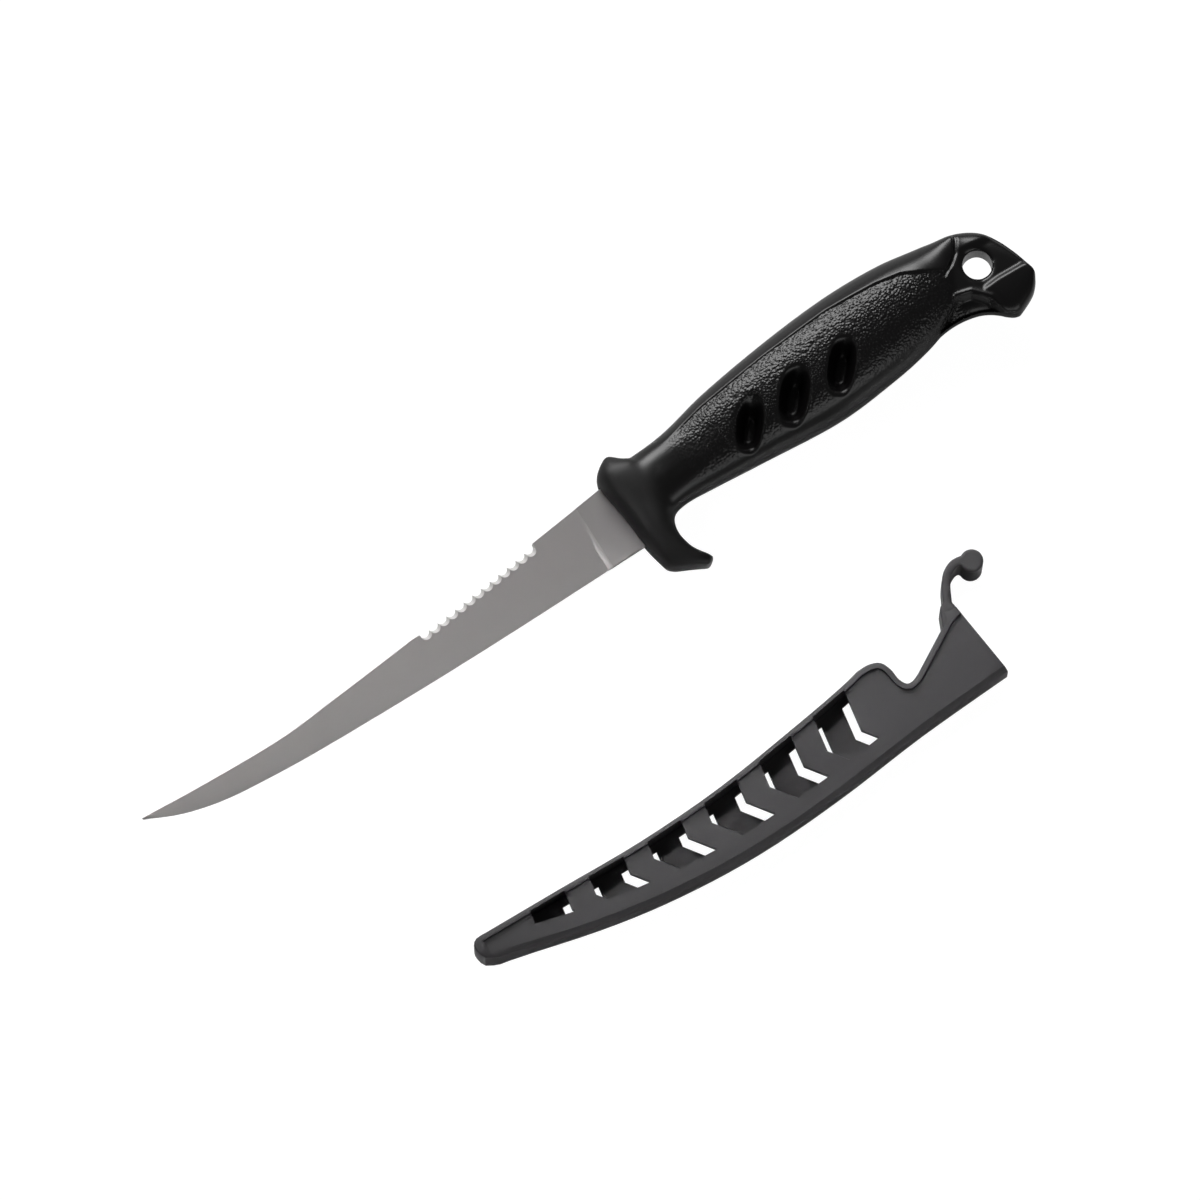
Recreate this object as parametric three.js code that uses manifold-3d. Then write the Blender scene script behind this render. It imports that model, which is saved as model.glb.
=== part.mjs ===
// A fillet knife for fish, lying on its side, with its moulded sheath drawn off and laid beside it.
// The blade has a row of scaler scallops on its back and a hidden tang moulded into the handle.
// The sheath carries a sprung catch arm whose bead snaps behind the upper lug of the guard.
//
// Millimetres. Each piece is drawn in the knife's own plan: x = 0 at the guard's front face, +x to the
// butt, +y to the back of the blade, z = 0 on the middle plane of the blade. The sheath is drawn where
// it sits on the blade and is then laid on the table beside it.

import * as THREE from 'three';
import { mergeVertices } from 'three/addons/utils/BufferGeometryUtils.js';
import Module from 'manifold-3d';

const wasm = await Module();
wasm.setup();

// Clearances
const FIT_GAP = 0.3;             // between neighbouring pieces that touch on the real knife
const POCKET_GAP = 0.6;          // round the blade in the sheath's pocket
const MOUTH_GAP = 0.6;           // between the sheath's mouth and the guard's front

// Blade
const BLADE_LENGTH = 153.2;      // guard face to point
const BLADE_WIDTH = 20;          // at the guard
const BLADE_THICKNESS = 2;       // at the guard, on the back
const POINT_THICKNESS = 0.8;     // on the back, at the point
const EDGE_THICKNESS = 0.3;      // left on the cutting edge
const MIDDLE_SHARE = 0.8;        // thickness half way down the ground bevel, as a share of the back's
const HEEL_DEPTH = 3;            // how far the full blade width runs into the guard
const HEEL_RISE = 0.4;           // of the back between the guard's front and the heel's end
const PLUNGE_X = -9.2;           // where the ground bevel starts
const PLUNGE_RUN = 2.4;          // length over which the bevel runs in
const POINT_RUN = 60;            // length of the curved part before the point
const SCALER_START = -24.5;      // first scallop on the back
const SCALER_COUNT = 13;
const SCALER_PITCH = 3;
const SCALER_RADIUS = 1.56;
const SCALER_STEP = 0.3;         // drop of the scallop tips below the back
const SCALER_BEVEL = 1;          // how much further the scallops reach in on the ground face
const SCALER_SKEW = 0.3;         // how much further they lie towards the guard on the ground face
const BLADE_BACK = [             // x and height of the back
  [-BLADE_LENGTH, -1.2],
  [-134.3, -2.2],
  [-110, -2.6],
  [-93.7, -1.2],
  [-64, 1.9],
  [SCALER_START, 6.8],
  [0, BLADE_WIDTH / 2],
  [HEEL_DEPTH, BLADE_WIDTH / 2 + HEEL_RISE],
];
const BLADE_EDGE = [             // x and height of the cutting edge
  [-BLADE_LENGTH, -1.6],
  [-142.9, -6],
  [-132.1, -8.6],
  [-120.6, -9.8],
  [-102.8, -10.7],
  [-68.3, -11.1],
  [-35, -10.8],
  [0, -BLADE_WIDTH / 2],
  [HEEL_DEPTH, -BLADE_WIDTH / 2],
];

// Tang, hidden in the handle
const TANG_LENGTH = 78;
const TANG_WIDTH = 9;
const TANG_OVERLAP = 1;          // of the tang with the heel
const TANG_HOLE_RADIUS = 2.4;
const TANG_HOLE_COUNT = 3;
const TANG_HOLE_START = 14;      // from the heel's end
const TANG_HOLE_PITCH = 20;

// Handle: a swelling grip whose end lies over a thinner butt, and a guard in front
const HANDLE_LENGTH = 131.1;     // guard face to butt
const GRIP_START = 4;            // the grip's front end, inside the guard
const GRIP_END = 118;            // where the grip runs out over the butt
const GRIP_THICKNESS = 24;       // at the swell
const NECK_THICKNESS = 14;       // behind the guard
const GRIP_BACK = [              // x and height of the handle's upper outline
  [GRIP_START, 12.6],
  [17.2, 13.3],
  [23.4, 14.2],
  [35.8, 17.2],
  [58.5, 20.6],
  [78.8, 22.4],
  [95, 22.2],
  [106.2, 20.7],
  [117.3, 19],
  [121.5, 17.5],
  [125, 14.4],
  [128, 9.2],
  [129.8, 4.2],
  [HANDLE_LENGTH, -1],
];
const GRIP_BELLY = [             // x and height of the grip's lower outline
  [GRIP_START, -9],
  [11.6, -7],
  [14.8, -6.2],
  [20.6, -5.9],
  [40.9, -7.3],
  [65.2, -8.8],
  [84.7, -6.9],
  [94, -5.2],
  [99.5, -3.6],
  [105, -1.2],
  [109, 2.2],
  [111.6, 7],
  [113.8, 11.6],
  [116, 15.6],
  [GRIP_END, 18],
];
const GRIP_DEPTH = [             // x and thickness of the grip
  [GRIP_START, NECK_THICKNESS + 1.2],
  [10, NECK_THICKNESS + 0.2],
  [16, NECK_THICKNESS],
  [24, NECK_THICKNESS + 3],
  [45, GRIP_THICKNESS - 2],
  [68, GRIP_THICKNESS],
  [90, GRIP_THICKNESS - 2],
  [102, GRIP_THICKNESS - 5.5],
  [109, GRIP_THICKNESS - 9.5],
  [113, GRIP_THICKNESS - 11.6],
  [GRIP_END, GRIP_THICKNESS - 13],
];
const GRIP_SQUARENESS = 2.35;    // 2 is an ellipse, more is squarer
const BUTT_START = 96;           // the butt's front end, inside the grip
const BUTT_THICKNESS = 11;       // around the lanyard hole
const BUTT_TAPER = 2;            // thinning towards the end
const BUTT_SET_IN = 0.6;         // of the butt below the grip's back, where the grip covers it
const BUTT_SQUARENESS = 3.6;
const BUTT_BELLY = [             // x and height of the butt's lower outline
  [BUTT_START, -4.2],
  [99.2, -3.5],
  [105.2, -2.9],
  [111.2, -3.7],
  [115.1, -5.4],
  [119, -8.6],
  [120.8, -10],
  [122.5, -9.6],
  [128.6, -6.3],
  [HANDLE_LENGTH, -2.4],
];
const GUARD_THICKNESS = 16;
const GUARD_BOTTOM = -23.8;      // the quillon's lowest point
const GUARD_TOP = 16.2;          // the lug's highest point
const GUARD_BACK_X = 12.5;       // where the guard ends in the neck
const GUARD_SQUARENESS = 2.7;
const GUARD_FRONT = [            // height and x of the guard's front
  [GUARD_BOTTOM, 12.4],
  [-21.4, 7.6],
  [-19.2, 3.2],
  [-17, 2.3],
  [-9.9, 0.9],
  [0, 0],
  [9.9, -1.2],
  [13, 0],
  [15.2, 2.6],
  [GUARD_TOP, 4.6],
];
const GUARD_BACK = [             // height and x of the guard's back
  [GUARD_BOTTOM, 13.4],
  [-23, 14.9],
  [-22, 15.2],
  [-20.6, 14.2],
  [-17.2, 11.9],
  [-13.7, 10.9],
  [-11.2, 10.6],
  [-8.5, 11.5],
  [-5, GUARD_BACK_X],
  [10, GUARD_BACK_X],
  [12.4, 10.6],
  [13.4, 8.7],
  [15, 7],
  [GUARD_TOP, 5.4],
];
const GUARD_DEPTH = [            // height and thickness of the guard
  [GUARD_BOTTOM, GUARD_THICKNESS - 9],
  [-20, GUARD_THICKNESS - 6],
  [-14, GUARD_THICKNESS - 2.6],
  [-8, GUARD_THICKNESS - 0.5],
  [0, GUARD_THICKNESS],
  [8, GUARD_THICKNESS],
  [12, GUARD_THICKNESS - 1.5],
  [GUARD_TOP, GUARD_THICKNESS - 7],
];
const LANYARD_X = 118.6;
const LANYARD_Y = 7.4;
const LANYARD_RADIUS = 4.1;
const LANYARD_CHAMFER = 0.4;
const SCALLOP_COUNT = 3;         // finger scallops on each side
const SCALLOP_START = 40.4;
const SCALLOP_PITCH = 15.2;
const SCALLOP_Y = 0.6;
const SCALLOP_WIDTH = 9.4;
const SCALLOP_LENGTH = 23;
const SCALLOP_DEPTH = 2.6;
const SCALLOP_LEAN = THREE.MathUtils.degToRad(47);

// Sheath
const SHEATH_THICKNESS = 13;
const RIM_WIDTH = 1.6;
const RIM_ROUNDING = 0.8;
const EDGE_ROUNDING = 1.5;       // along the side of the cutting edge
const POCKET_WALL = 1.1;         // between the pocket and the outside, at the back and the edge
const PANEL_RECESS = 1;          // of both faces below the rim
const PANEL_THICKNESS = 2.3;
const TIP_ROOM = 5.4;            // of the pocket beyond the blade's point
const MOUTH_CLEAR = 4;           // how far the cuts run out past the mouth
const MOUTH_BACK_Y = 9.9;
const SHEATH_EDGE = [            // outline past the cutting edge, from the mouth to the tip
  [-27.7, -14.2],
  [-55.2, -17],
  [-81.5, -18.2],
  [-106.2, -16.7],
  [-129.4, -12.9],
  [-157, -5.9],
];
const SHEATH_TIP = [
  [-157, -5.9],
  [-160.4, -4.2],
  [-161.4, -1.5],
  [-161.2, 0.4],
  [-159.6, 1.7],
  [-156.5, 1.7],
];
const SHEATH_BACK = [            // outline over the blade's back, from the tip to the hump
  [-156.5, 1.7],
  [-133.4, 1.2],
  [-108.2, 0.6],
  [-82, 1.8],
  [-53.9, 5.4],
  [-39.9, 7.6],
  [-34, 8.9],
];
const SHEATH_NOTCH = [           // round the hump and down into the thumb notch
  [-34, 8.9],
  [-30.5, 8.9],
  [-27.4, 7.6],
  [-26, 4.6],
  [-25.6, 1.2],
  [-24.4, -1],
  [-22.6, -1.2],
  [-20.5, -0.4],
];
const SHEATH_CORNER = [          // from the notch up to the seat of the catch arm
  [-6.2, 7.9],
  [-5.8, 10.6],
];
const WINDOW_COUNT = 6;
const WINDOW_START = -41.6;      // butt side of the first window, at the chevron's point
const WINDOW_PITCH = 18.4;
const WINDOW_WIDTH = 10.8;
const WINDOW_WIDE_GAP = 1.6;     // slit left on the butt side of each bar on the far face
const WINDOW_THIN_GAP = 0.9;     // slit left on its tip side
const WINDOW_MARGIN = 4.2;       // web between the windows and the edge-side rim
const WINDOW_DROP = 2;           // how much further the far face's openings keep from the back
const CHEVRON_Y = -5.3;          // height of the chevrons' points
const CHEVRON_UPPER_SLOPE = 0.16;
const CHEVRON_LOWER_SLOPE = 0.72;

// Catch arm
const ARM_THICKNESS = 2.4;
const ARM_ROOT = [-3.6, 11];
const ARM_LINE = [               // middle of the arm, from the root to the bead
  ARM_ROOT,
  [-2.4, 13.4],
  [-0.9, 16.2],
  [1.2, 18.7],
  [4, 20],
  [6.4, 19.8],
];
const BEAD_RADIUS = 3.2;
const BEAD_X = 8.6;
const BEAD_Y = 18.2;
const CATCH_INSET = 0.15;        // of the catch below both faces of the sheath

// Where the sheath lies, from where it sits on the blade
const SHEATH_AWAY_X = 65;        // towards the butt
const SHEATH_AWAY_Y = 78.5;      // past the cutting edge

// Derived sizes
const DEEPEST_EDGE = Math.min(...BLADE_EDGE.map((point) => point[1]));
const MOUTH_EDGE_Y = DEEPEST_EDGE - FIT_GAP - POCKET_WALL;
const TIP_INSIDE = -BLADE_LENGTH - TIP_ROOM;
const BEYOND = 3 * BLADE_WIDTH;  // wider than the sheath
const POCKET_HALF = SHEATH_THICKNESS / 2 - PANEL_RECESS - PANEL_THICKNESS;

// Turns a closed geometry into a solid that can be joined and cut.
function solidOf(geometry) {
  const bare = geometry.clone();
  bare.deleteAttribute('normal');
  bare.deleteAttribute('uv');
  const merged = mergeVertices(bare, 1e-4);
  return new wasm.Manifold(new wasm.Mesh({
    numProp: 3,
    vertProperties: new Float32Array(merged.attributes.position.array),
    triVerts: new Uint32Array(merged.index.array),
  }));
}

// Turns a solid back into a geometry.
function geometryOf(solid) {
  const mesh = solid.getMesh();
  const geometry = new THREE.BufferGeometry();
  geometry.setAttribute('position', new THREE.BufferAttribute(new Float32Array(mesh.vertProperties), 3));
  geometry.setIndex(new THREE.BufferAttribute(new Uint32Array(mesh.triVerts), 1));
  geometry.computeVertexNormals();
  return geometry;
}

// A smooth height over x, through hand-chosen points in rising order of x.
function heightThrough(points) {
  const slope = points.map((point, i) => {
    const before = points[Math.max(i - 1, 0)];
    const after = points[Math.min(i + 1, points.length - 1)];
    return (after[1] - before[1]) / (after[0] - before[0]);
  });
  return (x) => {
    let i = 0;
    while (i < points.length - 2 && x > points[i + 1][0]) i += 1;
    const run = points[i + 1][0] - points[i][0];
    const t = THREE.MathUtils.clamp((x - points[i][0]) / run, 0, 1);
    const rise = points[i + 1][1] - points[i][1];
    const bendIn = slope[i] * run - rise;
    const bendOut = rise - slope[i + 1] * run;
    return points[i][1] + t * rise + t * (1 - t) * ((1 - t) * bendIn + t * bendOut);
  };
}

// A solid skinned over closed rings of equal count, with flat ends.
function skinOver(rings) {
  const count = rings[0].length;
  const positions = rings.flat().flatMap((point) => point.toArray());
  const triangles = [];
  for (let r = 0; r < rings.length - 1; r += 1) {
    for (let i = 0; i < count; i += 1) {
      const a = r * count + i;
      const b = r * count + (i + 1) % count;
      triangles.push(a, b, b + count, a, b + count, a + count);
    }
  }
  const last = (rings.length - 1) * count;
  for (let i = 1; i < count - 1; i += 1) {
    triangles.push(0, i + 1, i);
    triangles.push(last, last + i, last + i + 1);
  }
  const geometry = new THREE.BufferGeometry();
  geometry.setAttribute('position', new THREE.Float32BufferAttribute(positions, 3));
  geometry.setIndex(triangles);
  return geometry;
}

// A plate of a plan outline between two heights.
function plate(outline, low, high) {
  const geometry = new THREE.ExtrudeGeometry(new THREE.Shape(outline), {
    depth: high - low,
    bevelEnabled: false,
  });
  geometry.translate(0, 0, low);
  return solidOf(geometry);
}

// A plate centred on z = 0 with rounded edges on both faces.
function roundedPlate(outline, thickness, rounding) {
  const geometry = new THREE.ExtrudeGeometry(new THREE.Shape(outline), {
    depth: thickness - 2 * rounding,
    bevelThickness: rounding,
    bevelSize: rounding,
    bevelOffset: -rounding,
    bevelSegments: 3,
  });
  geometry.translate(0, 0, rounding - thickness / 2);
  return geometry;
}

// A round post along z, centred on z = 0.
function post(x, y, radiusTop, radiusBottom, height, sides = 32) {
  const geometry = new THREE.CylinderGeometry(radiusTop, radiusBottom, height, sides);
  geometry.rotateX(Math.PI / 2);
  geometry.translate(x, y, 0);
  return solidOf(geometry);
}

// Plan points on a smooth curve through a few given ones.
function smooth(points, divisions) {
  const through = points.map(([x, y]) => new THREE.Vector2(x, y));
  return new THREE.SplineCurve(through).getPoints(divisions);
}

// The same open path moved sideways, to its left for a positive distance.
function besidePath(path, distance) {
  return path.map((point, i) => {
    const before = path[Math.max(i - 1, 0)];
    const after = path[Math.min(i + 1, path.length - 1)];
    const along = after.clone().sub(before).normalize();
    return new THREE.Vector2(point.x - along.y * distance, point.y + along.x * distance);
  });
}

// Blade: wedge sections along x, thinning from back to edge and from guard to point.
const bladeBack = heightThrough(BLADE_BACK);
const bladeEdge = heightThrough(BLADE_EDGE);

function backThickness(x) {
  const towardsPoint = THREE.MathUtils.clamp(-x / BLADE_LENGTH, 0, 1);
  return THREE.MathUtils.lerp(BLADE_THICKNESS, POINT_THICKNESS, towardsPoint);
}

function bladeSection(x) {
  const back = bladeBack(x);
  const edge = bladeEdge(x);
  const middle = (back + edge) / 2;
  const ground = THREE.MathUtils.smoothstep(-x, -PLUNGE_X, -PLUNGE_X + PLUNGE_RUN);
  const halfBack = backThickness(x) / 2;
  const halfMiddle = THREE.MathUtils.lerp(halfBack, halfBack * MIDDLE_SHARE, ground);
  const halfEdge = THREE.MathUtils.lerp(halfBack, EDGE_THICKNESS / 2, ground);
  return [
    new THREE.Vector3(x, back, halfBack),
    new THREE.Vector3(x, middle, halfMiddle),
    new THREE.Vector3(x, edge, halfEdge),
    new THREE.Vector3(x, edge, -halfEdge),
    new THREE.Vector3(x, middle, -halfMiddle),
    new THREE.Vector3(x, back, -halfBack),
  ];
}

// Even steps from one place to another, both ends included.
function steps(from, to, count) {
  return Array.from({ length: count + 1 }, (_, i) => THREE.MathUtils.lerp(from, to, i / count));
}

function bladeBlank() {
  const pointEnd = -BLADE_LENGTH + POINT_RUN;
  const plungeEnd = PLUNGE_X - PLUNGE_RUN;
  const stations = [
    ...steps(0, 1, 24).map((share) => -BLADE_LENGTH + POINT_RUN * share ** 1.6),
    ...steps(pointEnd, plungeEnd, 12).slice(1),
    ...steps(plungeEnd, PLUNGE_X, 4).slice(1),
    0,
    HEEL_DEPTH,
  ];
  return solidOf(skinOver(stations.map(bladeSection)));
}

function tangOutline(grow) {
  const half = TANG_WIDTH / 2 + grow;
  const end = TANG_LENGTH + grow;
  const shape = new THREE.Shape();
  shape.moveTo(HEEL_DEPTH - TANG_OVERLAP, -half);
  shape.lineTo(end - half, -half);
  shape.absarc(end - half, 0, half, -Math.PI / 2, Math.PI / 2, false);
  shape.lineTo(HEEL_DEPTH - TANG_OVERLAP, half);
  shape.closePath();
  return shape.getPoints(8);
}

function tangHoles(radius) {
  const holes = [];
  for (let i = 0; i < TANG_HOLE_COUNT; i += 1) {
    const x = HEEL_DEPTH + TANG_HOLE_START + TANG_HOLE_PITCH * i;
    holes.push(post(x, 0, radius, radius, GRIP_THICKNESS, 20));
  }
  return wasm.Manifold.union(holes);
}

// Skewed round-bottomed cuts: they reach further in on the blade's upper face, so each leaves a bevel.
function scalerCuts() {
  const shape = new THREE.Shape();
  shape.absarc(0, 0, SCALER_RADIUS, Math.PI, 2 * Math.PI, false);
  shape.lineTo(SCALER_RADIUS, 2 * SCALER_RADIUS);
  shape.lineTo(-SCALER_RADIUS, 2 * SCALER_RADIUS);
  shape.closePath();
  const cutter = new THREE.ExtrudeGeometry(shape, {
    depth: 2 * BLADE_THICKNESS,
    bevelEnabled: false,
    curveSegments: 14,
  });
  cutter.translate(0, 0, -BLADE_THICKNESS);
  const skewX = SCALER_SKEW / BLADE_THICKNESS;
  const skewY = -SCALER_BEVEL / BLADE_THICKNESS;
  cutter.applyMatrix4(new THREE.Matrix4().makeShear(0, 0, 0, 0, skewX, skewY));
  const cuts = [];
  const tipBelowCentre = Math.sqrt(SCALER_RADIUS ** 2 - (SCALER_PITCH / 2) ** 2);
  const lift = tipBelowCentre - SCALER_STEP - SCALER_BEVEL / 2;
  for (let i = 0; i < SCALER_COUNT; i += 1) {
    const x = SCALER_START - SCALER_PITCH * (i + 0.5);
    cuts.push(solidOf(cutter.clone().translate(x, bladeBack(x) + lift, 0)));
  }
  return wasm.Manifold.union(cuts);
}

function bladeSolid() {
  const tang = plate(tangOutline(0), -BLADE_THICKNESS / 2, BLADE_THICKNESS / 2);
  return bladeBlank().add(tang.subtract(tangHoles(TANG_HOLE_RADIUS))).subtract(scalerCuts());
}

// The space for blade and tang in the handle. The plugs that fill the tang's holes are left standing.
function tangPocket() {
  const half = BLADE_THICKNESS / 2 + FIT_GAP;
  const low = -BLADE_WIDTH / 2 - FIT_GAP;
  const high = bladeBack(HEEL_DEPTH) + FIT_GAP;
  const heel = plate([
    new THREE.Vector2(-HEEL_DEPTH, low),
    new THREE.Vector2(HEEL_DEPTH + FIT_GAP, low),
    new THREE.Vector2(HEEL_DEPTH + FIT_GAP, high),
    new THREE.Vector2(-HEEL_DEPTH, high),
  ], -half, half);
  const tang = plate(tangOutline(FIT_GAP), -half, half);
  return heel.add(tang.subtract(tangHoles(TANG_HOLE_RADIUS - FIT_GAP)));
}

// Handle: grip and butt are skinned over rounded sections along x, the guard over sections along y.
const gripBack = heightThrough(GRIP_BACK);
const gripBelly = heightThrough(GRIP_BELLY);
const gripDepth = heightThrough(GRIP_DEPTH);
const buttBelly = heightThrough(BUTT_BELLY);
const guardFront = heightThrough(GUARD_FRONT);
const guardBack = heightThrough(GUARD_BACK);
const guardDepth = heightThrough(GUARD_DEPTH);

// Points round a rounded rectangle from low to high and of a thickness, as pairs of place and z.
function roundedSection(low, high, thickness, squareness, sides) {
  const power = 2 / squareness;
  const bulge = (value) => Math.sign(value) * Math.abs(value) ** power;
  return Array.from({ length: sides }, (_, i) => {
    const angle = (i / sides) * 2 * Math.PI;
    const across = (low + high) / 2 + ((high - low) / 2) * bulge(Math.cos(angle));
    return [across, (thickness / 2) * bulge(Math.sin(angle))];
  });
}

function gripSolid() {
  const stations = [...steps(GRIP_START, BUTT_START, 26), ...steps(BUTT_START, GRIP_END, 16).slice(1)];
  return solidOf(skinOver(stations.map((x) => (
    roundedSection(gripBelly(x), gripBack(x), gripDepth(x), GRIP_SQUARENESS, 36)
      .map(([y, z]) => new THREE.Vector3(x, y, z))
  ))));
}

function buttSolid() {
  const stations = steps(BUTT_START, HANDLE_LENGTH, 22);
  return solidOf(skinOver(stations.map((x) => {
    const covered = 1 - THREE.MathUtils.smoothstep(x, LANYARD_X - 2 * LANYARD_RADIUS, LANYARD_X);
    const thin = THREE.MathUtils.smoothstep(x, LANYARD_X, HANDLE_LENGTH);
    const back = gripBack(x) - BUTT_SET_IN * covered;
    return roundedSection(buttBelly(x), back, BUTT_THICKNESS - BUTT_TAPER * thin, BUTT_SQUARENESS, 32)
      .map(([y, z]) => new THREE.Vector3(x, y, z));
  })));
}

function guardSolid() {
  const stations = steps(GUARD_BOTTOM, GUARD_TOP, 30);
  return solidOf(skinOver(stations.map((y) => (
    roundedSection(guardFront(y), guardBack(y), guardDepth(y), GUARD_SQUARENESS, 28)
      .map(([x, z]) => new THREE.Vector3(x, y, -z))
  ))));
}

function fingerScallops() {
  const cuts = [];
  const bowl = SCALLOP_WIDTH / 2;
  for (let i = 0; i < SCALLOP_COUNT; i += 1) {
    const x = SCALLOP_START + SCALLOP_PITCH * i;
    for (const side of [1, -1]) {
      const geometry = new THREE.SphereGeometry(1, 24, 14);
      geometry.scale(SCALLOP_LENGTH / 2, bowl, bowl);
      geometry.rotateZ(SCALLOP_LEAN);
      geometry.translate(x, SCALLOP_Y, side * (gripDepth(x) / 2 + bowl - SCALLOP_DEPTH));
      cuts.push(solidOf(geometry));
    }
  }
  return wasm.Manifold.union(cuts);
}

function lanyardHole() {
  const depth = BUTT_THICKNESS * 2;
  const wide = LANYARD_RADIUS + LANYARD_CHAMFER + depth / 2;
  const cone = post(LANYARD_X, LANYARD_Y, wide, LANYARD_RADIUS, wide - LANYARD_RADIUS);
  const rise = BUTT_THICKNESS / 2 - LANYARD_CHAMFER + (wide - LANYARD_RADIUS) / 2;
  const upper = cone.translate([0, 0, rise]);
  const lower = upper.rotate([180, 0, 0]).translate([0, 2 * LANYARD_Y, 0]);
  return post(LANYARD_X, LANYARD_Y, LANYARD_RADIUS, LANYARD_RADIUS, depth).add(upper).add(lower);
}

function handleSolid() {
  const body = gripSolid().add(buttSolid()).add(guardSolid());
  return body.subtract(fingerScallops()).subtract(lanyardHole()).subtract(tangPocket());
}

// Sheath: its outline runs from the mouth's edge side, round the tip, over the back to the mouth again.
function mouthX(y) {
  return guardFront(y) - MOUTH_GAP;
}

const edgeWall = smooth([[mouthX(MOUTH_EDGE_Y), MOUTH_EDGE_Y], ...SHEATH_EDGE], 30);
const tipWall = smooth(SHEATH_TIP, 10);
const backWall = smooth(SHEATH_BACK, 24);
const notchWall = smooth(SHEATH_NOTCH, 24);
const cornerWall = [...SHEATH_CORNER, [mouthX(MOUTH_BACK_Y), MOUTH_BACK_Y]]
  .map(([x, y]) => new THREE.Vector2(x, y));

// The space on the pocket's side of the edge wall, a given distance inside it, from the tip to the mouth.
function insideEdge(inset, low, high) {
  const wall = besidePath(edgeWall, -inset);
  return plate([
    new THREE.Vector2(MOUTH_CLEAR, wall[0].y),
    ...wall.filter((point) => point.x > TIP_INSIDE),
    new THREE.Vector2(TIP_INSIDE, wall[wall.length - 1].y),
    new THREE.Vector2(TIP_INSIDE, BEYOND),
    new THREE.Vector2(MOUTH_CLEAR, BEYOND),
  ], low, high);
}

// The space on the pocket's side of a back path, which ends at the given height at the mouth.
function insideBack(path, inset, mouthHeight, low, high) {
  const wall = besidePath(path, -inset).filter((point) => point.x > TIP_INSIDE);
  return plate([
    new THREE.Vector2(TIP_INSIDE, -BEYOND),
    new THREE.Vector2(MOUTH_CLEAR, -BEYOND),
    new THREE.Vector2(MOUTH_CLEAR, mouthHeight),
    ...wall.reverse(),
    new THREE.Vector2(TIP_INSIDE, wall[wall.length - 1].y),
  ], low, high);
}

// The pocket runs straight out to the mouth over the blade's back, so the notch opens into it.
function pocketSpace(edgeInset, backInset, low, high) {
  const mouthHeight = bladeBack(HEEL_DEPTH) + POCKET_GAP;
  return insideEdge(edgeInset, low, high).intersect(insideBack(backWall, backInset, mouthHeight, low, high));
}

// The sunk panel of a face follows the rim round the notch and runs out at the mouth.
function panelSpace(low, high) {
  const path = [...backWall, ...notchWall.slice(1), cornerWall[0]];
  const mouthHeight = cornerWall[0].y + RIM_WIDTH;
  return insideEdge(RIM_WIDTH, low, high).intersect(insideBack(path, RIM_WIDTH, mouthHeight, low, high));
}

// A chevron band across the sheath, its point towards the tip.
function chevronBand(tipSide, buttSide) {
  const reach = 1.5 * BLADE_WIDTH;
  const bend = (x) => [
    new THREE.Vector2(x + CHEVRON_UPPER_SLOPE * reach, CHEVRON_Y + reach),
    new THREE.Vector2(x, CHEVRON_Y),
    new THREE.Vector2(x + CHEVRON_LOWER_SLOPE * reach, CHEVRON_Y - reach),
  ];
  return [...bend(tipSide), ...bend(buttSide).reverse()];
}

// The near face has open windows. The far face is open between bars that stand behind the windows.
function windowCuts() {
  const half = SHEATH_THICKNESS / 2;
  const near = [];
  const far = [];
  for (let i = 0; i < WINDOW_COUNT; i += 1) {
    const buttSide = WINDOW_START - WINDOW_PITCH * i;
    const tipSide = buttSide - WINDOW_WIDTH;
    near.push(plate(chevronBand(tipSide, buttSide), 0, half));
    const nextBar = tipSide + WINDOW_THIN_GAP + WINDOW_PITCH;
    far.push(plate(chevronBand(buttSide - WINDOW_WIDE_GAP, nextBar), -half, 0));
  }
  const edgeInset = RIM_WIDTH + WINDOW_MARGIN;
  const nearSpace = pocketSpace(edgeInset, POCKET_WALL, 0, half);
  const farSpace = pocketSpace(edgeInset, POCKET_WALL + WINDOW_DROP, -half, 0);
  return wasm.Manifold.union(near).intersect(nearSpace).add(wasm.Manifold.union(far).intersect(farSpace));
}

// The block is rounded all round its faces, and more along the side of the cutting edge.
function sheathBlock() {
  const overBack = [...backWall.slice(1), ...notchWall.slice(1), ...cornerWall];
  const outline = [...edgeWall, ...tipWall.slice(1), ...overBack];
  const last = edgeWall[edgeWall.length - 1];
  const before = edgeWall[edgeWall.length - 2];
  const pastTip = last.clone().lerp(before, -BEYOND / last.distanceTo(before));
  const edgeSide = [
    new THREE.Vector2(BEYOND, edgeWall[0].y),
    ...edgeWall,
    pastTip,
    new THREE.Vector2(pastTip.x, BEYOND),
    new THREE.Vector2(BEYOND, BEYOND),
  ];
  return solidOf(roundedPlate(outline, SHEATH_THICKNESS, RIM_ROUNDING))
    .intersect(solidOf(roundedPlate(edgeSide, SHEATH_THICKNESS, EDGE_ROUNDING)));
}

function sheathSolid() {
  const half = SHEATH_THICKNESS / 2;
  const seatRadius = ARM_THICKNESS / 2 + FIT_GAP;
  const seat = post(ARM_ROOT[0], ARM_ROOT[1], seatRadius, seatRadius, 2 * SHEATH_THICKNESS);
  return sheathBlock()
    .subtract(panelSpace(half - PANEL_RECESS, half + PANEL_RECESS))
    .subtract(panelSpace(-half - PANEL_RECESS, PANEL_RECESS - half))
    .subtract(pocketSpace(POCKET_WALL, POCKET_WALL, -POCKET_HALF, POCKET_HALF))
    .subtract(windowCuts())
    .subtract(seat);
}

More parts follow.
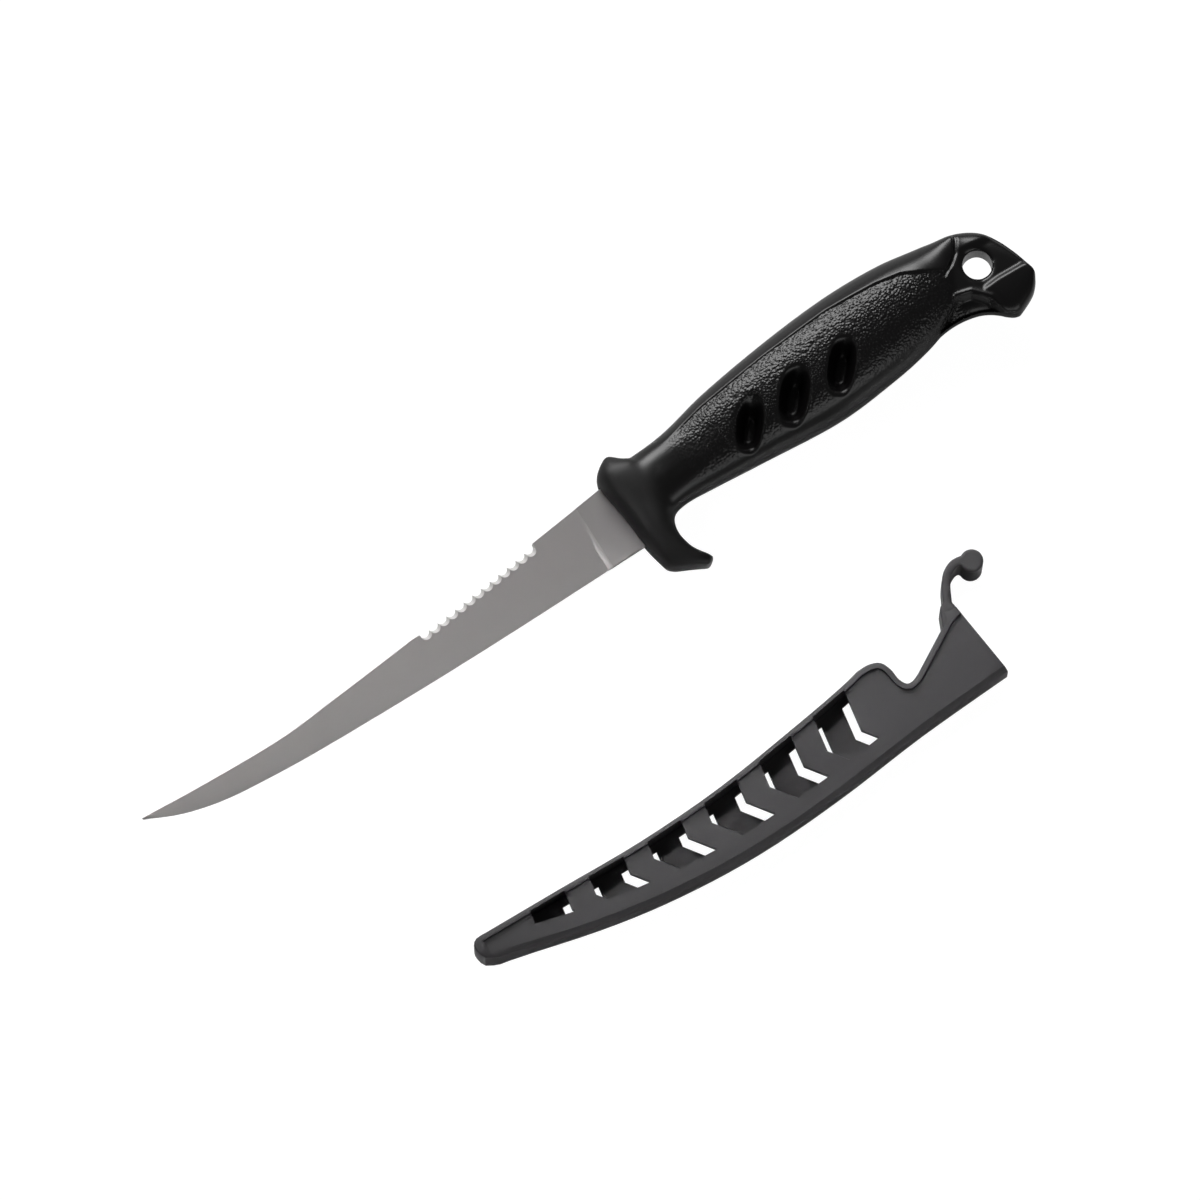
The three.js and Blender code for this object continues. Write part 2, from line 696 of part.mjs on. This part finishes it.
// Catch: a bent arm with a round root in the sheath's corner and a bead at its free end.
function catchSolid() {
  const thick = SHEATH_THICKNESS - 2 * CATCH_INSET;
  const line = smooth(ARM_LINE, 18);
  const half = ARM_THICKNESS / 2;
  const outline = [...besidePath(line, -half), ...besidePath(line, half).reverse()];
  return plate(outline, -thick / 2, thick / 2)
    .add(post(ARM_ROOT[0], ARM_ROOT[1], half, half, thick, 20))
    .add(post(BEAD_X, BEAD_Y, BEAD_RADIUS, BEAD_RADIUS, thick, 28));
}

function piece(name, solid, color, roughness, metalness) {
  const material = new THREE.MeshStandardMaterial({ color, roughness, metalness });
  const mesh = new THREE.Mesh(geometryOf(solid), material);
  mesh.name = name;
  return mesh;
}

const knife = new THREE.Group();
knife.add(piece('blade', bladeSolid(), 0x8d8986, 0.35, 1));
knife.add(piece('handle', handleSolid(), 0x141416, 0.35, 0));
knife.position.z = GRIP_THICKNESS / 2;

const sheathed = new THREE.Group();
sheathed.add(piece('sheath', sheathSolid(), 0x48464a, 0.6, 0));
sheathed.add(piece('sheath_catch', catchSolid(), 0x48464a, 0.6, 0));
sheathed.position.set(SHEATH_AWAY_X, -SHEATH_AWAY_Y, SHEATH_THICKNESS / 2);

// The origin is under the middle of the whole part, on the table.
const layout = new THREE.Group();
layout.add(knife, sheathed);
layout.updateMatrixWorld(true);
const extent = new THREE.Box3().setFromObject(layout, true);
layout.position.set(-(extent.min.x + extent.max.x) / 2, -(extent.min.y + extent.max.y) / 2, -extent.min.z);

const group = new THREE.Group();
group.add(layout);

export default group;
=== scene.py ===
import math

import bmesh
import bpy
import numpy as np
from mathutils import Matrix, Vector


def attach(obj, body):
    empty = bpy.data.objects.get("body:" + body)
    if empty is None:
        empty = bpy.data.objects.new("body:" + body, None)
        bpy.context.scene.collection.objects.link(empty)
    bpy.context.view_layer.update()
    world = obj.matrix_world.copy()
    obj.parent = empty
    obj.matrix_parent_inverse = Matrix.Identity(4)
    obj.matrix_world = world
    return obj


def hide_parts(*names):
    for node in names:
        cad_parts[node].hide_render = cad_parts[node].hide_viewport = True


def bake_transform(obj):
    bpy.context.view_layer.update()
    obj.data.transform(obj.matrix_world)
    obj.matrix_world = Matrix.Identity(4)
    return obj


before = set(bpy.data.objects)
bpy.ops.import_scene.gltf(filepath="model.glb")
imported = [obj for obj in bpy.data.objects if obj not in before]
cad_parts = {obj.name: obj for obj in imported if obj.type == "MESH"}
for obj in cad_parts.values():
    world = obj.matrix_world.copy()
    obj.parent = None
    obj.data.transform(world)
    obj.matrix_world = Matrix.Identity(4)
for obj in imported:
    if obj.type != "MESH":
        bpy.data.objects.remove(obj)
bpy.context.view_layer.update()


# Blade: a fillet blade blanked from stainless strip, ground thin towards the edge and satin finished
# along its length. The flat by the guard keeps its rolled finish and is coloured darker as painted
# shade from the handle beside it, and the scaler scallops are milled into the back and left bright.
# Its tang is moulded into the handle.

MM = 0.001
PLUNGE_X = 1.85 * MM
PLUNGE_RUN = 2.5 * MM
PLUNGE_SHARE = 0.85
SCALER_START = -13.45 * MM
SCALER_END = -53.2 * MM
SCALER_FOOT = 34 * MM
SCALER_BACK = 43.9 * MM
SCALER_RISE = 0.124
SCALER_DEPTH = 1.4 * MM
SCALER_BAND = 1.6 * MM
SCALER_MILLING = 0.45 * MM
SCALER_FACING = (0.1, 0.97)
BLADE_MIDDLE = 12.2 * MM
BLADE_SHARP = math.radians(25)
SCALER_SLOT, ROLLED_SHADED_SLOT = 1, 2
MERGED_WITHIN = 1e-6
BRUSHED_LINES = (160, 3500, 160)
BRUSHED_DETAIL = 3
BRUSHED_DEPTH = 0.02 * MM
BRUSHED_STRENGTH = 0.1


def merged_copy(node, name):
    """A new mesh of a CAD node with its corners joined."""
    joined = bmesh.new()
    joined.from_mesh(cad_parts[node].data)
    bmesh.ops.remove_doubles(joined, verts=joined.verts, dist=MERGED_WITHIN)
    joined.verts.index_update()
    corners = [vert.co[:] for vert in joined.verts]
    faces = [[vert.index for vert in face.verts] for face in joined.faces]
    joined.free()
    mesh = bpy.data.meshes.new(name)
    mesh.from_pydata(corners, [], faces)
    return mesh


def points_of(mesh):
    """The points of a mesh, one in each row."""
    points = np.empty(len(mesh.vertices) * 3)
    mesh.vertices.foreach_get("co", points)
    return points.reshape(-1, 3)


def piece_of(mesh, material):
    """An object for a mesh, with its material."""
    piece = bpy.data.objects.new(mesh.name, mesh)
    bpy.context.scene.collection.objects.link(piece)
    mesh.materials.append(material)
    return piece


def new_material(name, colour, roughness, metallic=0):
    """A material with its node tree and its Principled shader."""
    material = bpy.data.materials.new(name)
    material.use_nodes = True
    shader = material.node_tree.nodes["Principled BSDF"]
    shader.inputs["Base Color"].default_value = (*colour, 1)
    shader.inputs["Roughness"].default_value = roughness
    shader.inputs["Metallic"].default_value = metallic
    return material, material.node_tree, shader


def add_relief(tree, shader, height, depth):
    """A bump node that raises a surface by a height, up to a depth."""
    relief = tree.nodes.new("ShaderNodeBump")
    relief.inputs["Distance"].default_value = depth
    tree.links.new(height, relief.inputs["Height"])
    tree.links.new(relief.outputs["Normal"], shader.inputs["Normal"])
    return relief


blade_steel, tree, shader = new_material("blade_steel", (0.465, 0.449, 0.444), roughness=0.46, metallic=1)
place = tree.nodes.new("ShaderNodeTexCoord")
lengthwise = tree.nodes.new("ShaderNodeMapping")
lengthwise.inputs["Scale"].default_value = BRUSHED_LINES
tree.links.new(place.outputs["Object"], lengthwise.inputs["Vector"])
lines = tree.nodes.new("ShaderNodeTexNoise")
lines.inputs["Scale"].default_value = 1
lines.inputs["Detail"].default_value = BRUSHED_DETAIL
tree.links.new(lengthwise.outputs["Vector"], lines.inputs["Vector"])
relief = add_relief(tree, shader, lines.outputs["Fac"], BRUSHED_DEPTH)
relief.inputs["Strength"].default_value = BRUSHED_STRENGTH
scaler_steel = new_material("scaler_steel", (0.7, 0.69, 0.68), roughness=0.6, metallic=1)[0]
# Painted shade: the flat by the guard gets a darker steel than the blade in place of the handle's shade on
# it. Its higher roughness is the rolled finish.
rolled_and_shaded_steel = new_material("rolled_and_shaded_steel", (0.36, 0.347, 0.343), roughness=0.5, metallic=1)[0]

blade_mesh = merged_copy("blade", "blade_fine")
points = points_of(blade_mesh)
past_plunge = PLUNGE_X - points[:, 0]
in_plunge = (past_plunge > 0) & (past_plunge < PLUNGE_RUN)
points[:, 0] = np.where(in_plunge, PLUNGE_X - PLUNGE_SHARE * past_plunge, points[:, 0])
x, y, z = points.T
below_back = SCALER_BACK + SCALER_RISE * (x - SCALER_START) - y
in_scaler = (x < SCALER_START) & (x > SCALER_END) & (np.abs(below_back - SCALER_DEPTH) < SCALER_BAND)
points[:, 1] -= SCALER_MILLING * (in_scaler & (z > BLADE_MIDDLE))
blade_mesh.vertices.foreach_set("co", points.ravel())
blade_mesh.shade_smooth()
blade_mesh.set_sharp_from_angle(angle=BLADE_SHARP)
blade = piece_of(blade_mesh, blade_steel)
blade_mesh.materials.append(scaler_steel)
blade_mesh.materials.append(rolled_and_shaded_steel)
for face in blade_mesh.polygons:
    slanted = SCALER_FACING[0] < face.normal.z < SCALER_FACING[1]
    if slanted and SCALER_END < face.center.x < SCALER_START and face.center.y > SCALER_FOOT:
        face.material_index = SCALER_SLOT
    # Faces behind the plunge take the darker steel, which is painted shade.
    elif face.center.x > PLUNGE_X:
        face.material_index = ROLLED_SHADED_SLOT
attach(blade, "knife")
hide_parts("blade")


# Handle: one injection moulding in black plastic over the tang, with a satin guard, a glossy grip, the
# finger scallops, a pebbled panel on each side and the bore for a lanyard all in the same tool.
# Its lines are in millimetres from the knife's origin, and a pair is where a fade starts and ends.

KNIFE_PLACE = np.array((11.05, 37.086, 12.0))
HANDLE_VOXEL = 0.42 * MM
EASE_ROUNDS = 10
FILLET_ROUNDS = 90
NECK_FRONT, NECK_REAR = (5, 9), (18, 24)
NECK_FOOT, NECK_HEAD = (-15, -12), (9, 12)
CROWN_FRONT, CROWN_REAR = (108, 112), (121, 126)
CROWN_FOOT = (11.5, 14)
GUARD_EASE = 0.8
GUARD_REAR = (6, 12)
GUARD_SIDE = (2.5, 6)
SATIN_REAR = (7, 15)
FACING_OUT = (0.1, 0.45)
PANEL_TOP = (
    (15, 9.5), (22, 11.0), (33.5, 13.6), (54.4, 16.2),
    (76, 17.9), (91.8, 17.1), (99, 15.9), (109.8, 10.7),
)
PANEL_SINK = 0.5
PANEL_EDGE = (-0.2, 0.7)
PANEL_FRONT, PANEL_REAR = (17, 30), (108, 111)
PEBBLE_SIZE = 0.7 * MM
PEBBLE_HEIGHT = 0.2 * MM
PEBBLE_ROUNDING = 0.6
PEBBLE_FOOT = (-6.5, -1.5)
SCALLOPS = ((41.6, 1.2, 7.6, 3.7), (55.9, 1.9, 8.8, 4.3), (71.3, 2.1, 8.5, 4.0))
SCALLOP_LEAN = math.radians(50)
SCALLOP_POWER = 2.6
SCALLOP_SINK = 3.6
SCALLOP_WALL = (0.35, 1.0)
SCALLOP_DARK = (0.7, 0.95)
SCALLOP_LAND = (0.95, 1.1)
COLLAR = ((117.6, 19.5), (117.2, 16.6), (115.2, 13.4), (112.4, 11.2), (109.2, 9.4))
COLLAR_DEPTH = 0.6
COLLAR_WALL = (0.2, 0.8)
STEP_LINE = ((113.1, 4.1), (116.3, 0.9), (121.4, 1.4), (131.0, 1.3))
STEP_DEPTH = 0.9
STEP_WALL = (-0.9, 0.9)
STEP_FRONT = (114, 118)
STEP_HEAD = (11, 14)
HOOK_LINE = (
    (90, -3.6), (98.8, -1.8), (104, 0.6), (108.6, 3.2),
    (113.1, 2.0), (117.1, -2.2), (118.9, -9.5), (119.2, -14),
)
HOOK_DEPTH = 2.2
HOOK_WALL = (0, 2.2)
HOOK_FRONT = (90, 106)
LIP_HEIGHT = 0.45
LIP_WALL = (0, 1.3)
LIP_FRONT = (96, 108)
# The lower gloss inside the scallops is painted shade.
GRIP_GLOSS, SCALLOP_SHADE_GLOSS = 0.42, 0.12
GRIP_ROUGHNESS, GUARD_ROUGHNESS = 0.29, 0.5


def skin_over(piece, voxel):
    """Adds a modifier that makes a piece one closed skin of small faces."""
    skin = piece.modifiers.new("skin", "REMESH")
    skin.mode = "VOXEL"
    skin.voxel_size = voxel


def settled(piece, name):
    """The piece's mesh with its modifiers applied, which becomes its own."""
    mesh = bpy.data.meshes.new_from_object(piece.evaluated_get(bpy.context.evaluated_depsgraph_get()))
    piece.modifiers.clear()
    piece.data = mesh
    mesh.name = name
    return mesh


def ramp(value, low, high):
    """A smooth rise from 0 at low to 1 at high."""
    share = np.clip((value - low) / (high - low), 0, 1)
    return share * share * (3 - 2 * share)


def beside(line, x, y):
    """Distance of plan points to a line, positive on its left."""
    best = np.full(x.shape, np.inf)
    side = np.zeros(x.shape)
    for (x0, y0), (x1, y1) in zip(line[:-1], line[1:]):
        run, rise = x1 - x0, y1 - y0
        share = np.clip(((x - x0) * run + (y - y0) * rise) / (run * run + rise * rise), 0, 1)
        away = np.hypot(x - x0 - share * run, y - y0 - share * rise)
        nearer = away < best
        best = np.where(nearer, away, best)
        side = np.where(nearer, np.sign(run * (y - y0) - rise * (x - x0)), side)
    return best * side


def eased(points, edges, weight, rounds):
    """Points drawn towards the middle of their neighbours, as far as their weight allows."""
    here = np.concatenate((edges[:, 0], edges[:, 1]))
    there = np.concatenate((edges[:, 1], edges[:, 0]))
    count = np.bincount(here, minlength=len(points))
    for _ in range(rounds):
        sums = [np.bincount(here, axis[there], len(points)) for axis in points.T]
        middle = np.stack([total / count for total in sums], axis=1)
        points = points + weight[:, None] * (middle - points) / 2
    return points


handle_plastic, tree, shader = new_material("handle_plastic", (0.0025, 0.0022, 0.0024), GRIP_ROUGHNESS)
place = tree.nodes.new("ShaderNodeTexCoord")
pebbles = tree.nodes.new("ShaderNodeTexVoronoi")
pebbles.feature = "SMOOTH_F1"
pebbles.inputs["Scale"].default_value = 1 / PEBBLE_SIZE
pebbles.inputs["Smoothness"].default_value = PEBBLE_ROUNDING
tree.links.new(place.outputs["Object"], pebbles.inputs["Vector"])
panel = tree.nodes.new("ShaderNodeAttribute")
panel.attribute_name = "panel"
relief = add_relief(tree, shader, pebbles.outputs["Distance"], PEBBLE_HEIGHT)
relief.invert = True
tree.links.new(panel.outputs["Fac"], relief.inputs["Strength"])
# Painted shade: inside the scallops the specular level drops, so the same plastic reads dark there as if
# in shade.
for mask_name, socket, on_grip, in_mask in (
    ("scallop_shade", "Specular IOR Level", GRIP_GLOSS, SCALLOP_SHADE_GLOSS),
    ("satin", "Roughness", GRIP_ROUGHNESS, GUARD_ROUGHNESS),
):
    mask = tree.nodes.new("ShaderNodeAttribute")
    mask.attribute_name = mask_name
    level = tree.nodes.new("ShaderNodeMapRange")
    level.inputs["To Min"].default_value = on_grip
    level.inputs["To Max"].default_value = in_mask
    tree.links.new(mask.outputs["Fac"], level.inputs["Value"])
    tree.links.new(level.outputs["Result"], shader.inputs[socket])

handle = piece_of(merged_copy("handle", "handle_fine"), handle_plastic)
skin_over(handle, HANDLE_VOXEL)
fine = settled(handle, "handle_fine")
edges = np.empty(len(fine.edges) * 2, dtype=int)
fine.edges.foreach_get("vertices", edges)
edges = edges.reshape(-1, 2)
points = points_of(fine) / MM - KNIFE_PLACE
points = eased(points, edges, np.ones(len(points)), EASE_ROUNDS)
x, y, z = points.T
neck = ramp(x, *NECK_FRONT) * (1 - ramp(x, *NECK_REAR)) * ramp(y, *NECK_FOOT) * (1 - ramp(y, *NECK_HEAD))
crown = ramp(x, *CROWN_FRONT) * (1 - ramp(x, *CROWN_REAR)) * ramp(y, *CROWN_FOOT)
guard = GUARD_EASE * (1 - ramp(x, *GUARD_REAR)) * ramp(np.abs(z), *GUARD_SIDE)
points = eased(points, edges, np.maximum(np.maximum(neck, crown), guard), FILLET_ROUNDS)
fine.vertices.foreach_set("co", ((points + KNIFE_PLACE) * MM).ravel())
fine.update()
normals = np.empty(len(points) * 3)
fine.vertices.foreach_get("normal", normals)

x, y, z = points.T
faces_out = ramp(normals.reshape(-1, 3)[:, 2] * np.sign(z), *FACING_OUT)
satin = 1 - ramp(x, *SATIN_REAR)
on_panel = ramp(-beside(PANEL_TOP, x, y), *PANEL_EDGE) * ramp(x, *PANEL_FRONT) * (1 - ramp(x, *PANEL_REAR))
sink = PANEL_SINK * on_panel
pebbled = on_panel * faces_out * ramp(y, *PEBBLE_FOOT)
scallop_shaded = np.zeros(len(points))
for middle_x, middle_y, half_length, half_width in SCALLOPS:
    along = (x - middle_x) * math.cos(SCALLOP_LEAN) + (y - middle_y) * math.sin(SCALLOP_LEAN)
    across = (y - middle_y) * math.cos(SCALLOP_LEAN) - (x - middle_x) * math.sin(SCALLOP_LEAN)
    out = np.abs(along / half_length) ** SCALLOP_POWER + np.abs(across / half_width) ** SCALLOP_POWER
    out = out ** (1 / SCALLOP_POWER)
    sink += SCALLOP_SINK * (1 - ramp(out, *SCALLOP_WALL))
    pebbled *= ramp(out, *SCALLOP_LAND)
    # This mask is painted shade: it lowers the gloss inside each scallop where shade falls.
    scallop_shaded += faces_out * (1 - ramp(out, *SCALLOP_DARK))
sink += COLLAR_DEPTH * (1 - ramp(np.abs(beside(COLLAR, x, y)), *COLLAR_WALL))
above_step = ramp(beside(STEP_LINE, x, y), *STEP_WALL)
sink += STEP_DEPTH * above_step * ramp(x, *STEP_FRONT) * (1 - ramp(y, *STEP_HEAD))
below_hook = -beside(HOOK_LINE, x, y)
sink += HOOK_DEPTH * ramp(below_hook, *HOOK_WALL) * ramp(x, *HOOK_FRONT)
sink -= LIP_HEIGHT * (1 - ramp(np.abs(below_hook), *LIP_WALL)) * ramp(x, *LIP_FRONT)
points[:, 2] -= np.sign(z) * sink * faces_out
fine.vertices.foreach_set("co", ((points + KNIFE_PLACE) * MM).ravel())
for mask_name, share in (("panel", pebbled), ("scallop_shade", scallop_shaded), ("satin", satin)):
    fine.attributes.new(mask_name, "FLOAT", "POINT").data.foreach_set("value", share)
fine.update()
fine.shade_smooth()
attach(handle, "knife")
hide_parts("handle")


# Sheath: a matt charcoal moulding of two thin panels in a rim, open at the mouth for the blade.
# Chevron windows drain it, and bars on the far side cross them, so the tool needs no side cores.
# Its lines are in millimetres from the sheath's origin.

SHEATH_PLACE = np.array((76.05, -41.414, 6.5))
BAR_EDGES = (-51.5, -69.9, -88.3, -106.7, -125.1)
BAR_TRIM = 1.2
BAR_MATCH = 0.1
CHEVRON_Y = -5.3
CHEVRON_UPPER = 0.16
CHEVRON_LOWER = 0.72
LOWER_EDGE = (
    (0.6, -12.5), (-27.7, -14.2), (-55.2, -17), (-81.5, -18.2),
    (-106.2, -16.7), (-129.4, -12.9), (-157, -5.9),
)
RIM_WIDTH = 1.5
RIM_FOOT = 4.6
RIM_FALL = 1.8
RIM_FADE = 12
EDGE_BREAK = 0.22 * MM
EDGE_SEGMENTS = 2
EDGE_ANGLE = math.radians(40)
SHEATH_SHARP = math.radians(20)
GRAIN_SIZE = 0.4 * MM
GRAIN_DEPTH = 0.1 * MM
GRAIN_STRENGTH = 0.25

sheath_plastic, tree, shader = new_material("sheath_plastic", (0.029, 0.0272, 0.0296), roughness=0.55)
place = tree.nodes.new("ShaderNodeTexCoord")
grain = tree.nodes.new("ShaderNodeTexNoise")
grain.inputs["Scale"].default_value = 1 / GRAIN_SIZE
tree.links.new(place.outputs["Object"], grain.inputs["Vector"])
relief = add_relief(tree, shader, grain.outputs["Fac"], GRAIN_DEPTH)
relief.inputs["Strength"].default_value = GRAIN_STRENGTH

sheath_mesh = merged_copy("sheath", "sheath_fine")
points = points_of(sheath_mesh)
x, y, z = (points / MM - SHEATH_PLACE).T
slant = np.where(y > CHEVRON_Y, CHEVRON_UPPER * (y - CHEVRON_Y), CHEVRON_LOWER * (CHEVRON_Y - y))
for bar_edge in BAR_EDGES:
    points[:, 0] += BAR_TRIM * MM * ((np.abs(x - slant - bar_edge) < BAR_MATCH) & (z < 0))
edge_x, edge_y = np.array(LOWER_EDGE).T
inside = y - np.polyval(np.polyfit(edge_x, edge_y, len(LOWER_EDGE) - 1), x)
on_rim = (inside < RIM_WIDTH) & (np.abs(z) > RIM_FOOT)
fall = RIM_FALL * ramp(x, edge_x[-1], edge_x[-1] + RIM_FADE) * (1 - np.clip(inside / RIM_WIDTH, 0, 1))
points[:, 2] -= np.sign(z) * on_rim * fall * MM
sheath_mesh.vertices.foreach_set("co", points.ravel())
sheath = piece_of(sheath_mesh, sheath_plastic)
soft = sheath.modifiers.new("edges", "BEVEL")
soft.width = EDGE_BREAK
soft.segments = EDGE_SEGMENTS
soft.limit_method = "ANGLE"
soft.angle_limit = EDGE_ANGLE
fine = settled(sheath, "sheath_fine")
fine.shade_smooth()
fine.set_sharp_from_angle(angle=SHEATH_SHARP)
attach(sheath, "sheath")
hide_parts("sheath")


# Catch: a bent arm moulded with the sheath, whose bead snaps behind the guard's lug. It bends at its
# thin root when the sheath is pulled off, and a small web below the root carries it into the rim.

CATCH_VOXEL = 0.3 * MM
CATCH_DEPTH = 12.7 * MM
CATCH_EASE = 0.5
CATCH_ROUNDS = 5
ROOT = Vector((72.45, -30.414, 6.5)) * MM
ROOT_RADIUS = 2.2 * MM
ROOT_SHIFT = Vector((-0.5, -0.8, 0)) * MM
WEB_RADIUS = 0.6 * MM
WEB_SHIFT = Vector((-4.1, -5.1, 0)) * MM
WEB_SEGMENTS = 32

shape = bmesh.new()
shape.from_mesh(merged_copy("sheath_catch", "catch_rough"))
web = []
for shift, radius in ((ROOT_SHIFT, ROOT_RADIUS), (WEB_SHIFT, WEB_RADIUS)):
    web += bmesh.ops.create_cone(
        shape, cap_ends=True, segments=WEB_SEGMENTS, radius1=radius, radius2=radius, depth=CATCH_DEPTH,
        matrix=Matrix.Translation(ROOT + shift),
    )["verts"]
bmesh.ops.convex_hull(shape, input=web)
catch_mesh = bpy.data.meshes.new("catch_fine")
shape.to_mesh(catch_mesh)
shape.free()
catch = piece_of(catch_mesh, sheath_plastic)
skin_over(catch, CATCH_VOXEL)
ease = catch.modifiers.new("ease", "SMOOTH")
ease.factor = CATCH_EASE
ease.iterations = CATCH_ROUNDS
settled(catch, "catch_fine").shade_smooth()
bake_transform(catch)
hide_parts("sheath_catch")


# Floor: a plain white table that shows only a trace of the object's shadow. To the camera it is mostly
# a light of its own, and to all else it is matt white paint.

FLOOR_HALF = 4
FLOOR_DROP = 0.02 * MM
FLOOR_WHITE = 1.15
FLOOR_LIT = 0.15

floor_paint, tree, shader = new_material("floor_paint", (0.8, 0.8, 0.8), roughness=0.9)
shader.inputs["Specular IOR Level"].default_value = 0
seen = tree.nodes.new("ShaderNodeLightPath")
white = tree.nodes.new("ShaderNodeEmission")
white.inputs["Strength"].default_value = FLOOR_WHITE
lifted = tree.nodes.new("ShaderNodeMath")
lifted.operation = "MULTIPLY"
lifted.inputs[1].default_value = 1 - FLOOR_LIT
tree.links.new(seen.outputs["Is Camera Ray"], lifted.inputs[0])
blend = tree.nodes.new("ShaderNodeMixShader")
tree.links.new(lifted.outputs["Value"], blend.inputs["Fac"])
tree.links.new(shader.outputs["BSDF"], blend.inputs[1])
tree.links.new(white.outputs["Emission"], blend.inputs[2])
tree.links.new(blend.outputs["Shader"], tree.nodes["Material Output"].inputs["Surface"])

floor_mesh = bpy.data.meshes.new("floor")
floor_corners = [
    (x * FLOOR_HALF, y * FLOOR_HALF, -FLOOR_DROP) for x, y in ((-1, -1), (1, -1), (1, 1), (-1, 1))
]
floor_mesh.from_pydata(floor_corners, [], [(0, 1, 2, 3)])
floor = piece_of(floor_mesh, floor_paint)


# Camera: far away and looking down, tilted a little towards the foot of the picture, as in the photo.
# Right, ahead and upright are the picture's own directions on the table.

CAMERA_TILT = math.radians(12)
CAMERA_TURN = math.radians(32.2)
CAMERA_AWAY = 3.0
CAMERA_SENSOR = 36
CAMERA_REACH = 20
PICTURE_WIDTH = 0.3252
AIM = Vector((-0.00467, 0.023316, 0))

right = Vector((math.cos(CAMERA_TURN), -math.sin(CAMERA_TURN), 0))
ahead = Vector((math.sin(CAMERA_TURN), math.cos(CAMERA_TURN), 0))
upright = Vector((0, 0, 1))
backward = upright * math.cos(CAMERA_TILT) - ahead * math.sin(CAMERA_TILT)
picture_up = ahead * math.cos(CAMERA_TILT) + upright * math.sin(CAMERA_TILT)
camera_data = bpy.data.cameras.new("camera")
camera_data.sensor_width = CAMERA_SENSOR
camera_data.lens = CAMERA_SENSOR * CAMERA_AWAY / PICTURE_WIDTH
camera_data.clip_end = CAMERA_REACH
camera = bpy.data.objects.new("camera", camera_data)
bpy.context.scene.collection.objects.link(camera)
camera.matrix_world = Matrix((right, picture_up, backward)).transposed().to_4x4()
camera.matrix_world.translation = AIM + backward * CAMERA_AWAY
bpy.context.scene.camera = camera


# Lights: a large soft box low beyond the upper left of the picture draws the bright strip along the
# handle's back, and a weak one stands at the lower right. Two narrow ones with grids light the sheath,
# as far as the bars behind its windows, and the outer blade. The room is dim, but white to the camera.

KEY_AWAY = upright * 0.7 + ahead * 1.0 - right * 0.34
FILL_AWAY = upright * 0.5 - ahead * 0.7 + right * 0.6
SHEATH_MIDDLE = Vector((0.014, -0.038, 0.0065))
SHEATH_LIGHT_AWAY = Vector((0, 0.25, 0.55))
BLADE_OUTER = Vector((-0.1, 0.031, 0.012))
BLADE_LIGHT_AWAY = upright * 0.95 - right * 0.55 - ahead * 0.3
OPEN = math.radians(180)
GRID = math.radians(10)
ROOM_DIM = (0.1, 0.1, 0.1, 1)
ROOM_WHITE = (1, 1, 1, 1)


def soft_box(name, target, away, width, height, power, spread=OPEN):
    """A rectangular area light that faces its target from some way off."""
    light = bpy.data.lights.new(name, "AREA")
    light.shape = "RECTANGLE"
    light.size = width
    light.size_y = height
    light.energy = power
    light.spread = spread
    lamp = bpy.data.objects.new(name, light)
    bpy.context.scene.collection.objects.link(lamp)
    lamp.matrix_world = away.to_track_quat("Z", "Y").to_matrix().to_4x4()
    lamp.matrix_world.translation = target + away


soft_box("key", AIM, KEY_AWAY, width=1.2, height=0.5, power=18)
soft_box("fill", AIM, FILL_AWAY, width=1.0, height=0.4, power=2)
soft_box("strip", SHEATH_MIDDLE, SHEATH_LIGHT_AWAY, width=0.18, height=0.06, power=0.018, spread=GRID)
soft_box("glint", BLADE_OUTER, BLADE_LIGHT_AWAY, width=0.05, height=0.16, power=0.022, spread=GRID)

world = bpy.data.worlds.new("room")
bpy.context.scene.world = world
world.use_nodes = True
tree = world.node_tree
seen = tree.nodes.new("ShaderNodeLightPath")
shade = tree.nodes.new("ShaderNodeMix")
shade.data_type = "RGBA"
shade.inputs["A"].default_value = ROOM_DIM
shade.inputs["B"].default_value = ROOM_WHITE
tree.links.new(seen.outputs["Is Camera Ray"], shade.inputs["Factor"])
tree.links.new(shade.outputs["Result"], tree.nodes["Background"].inputs["Color"])

bpy.context.scene.view_settings.view_transform = "Standard"
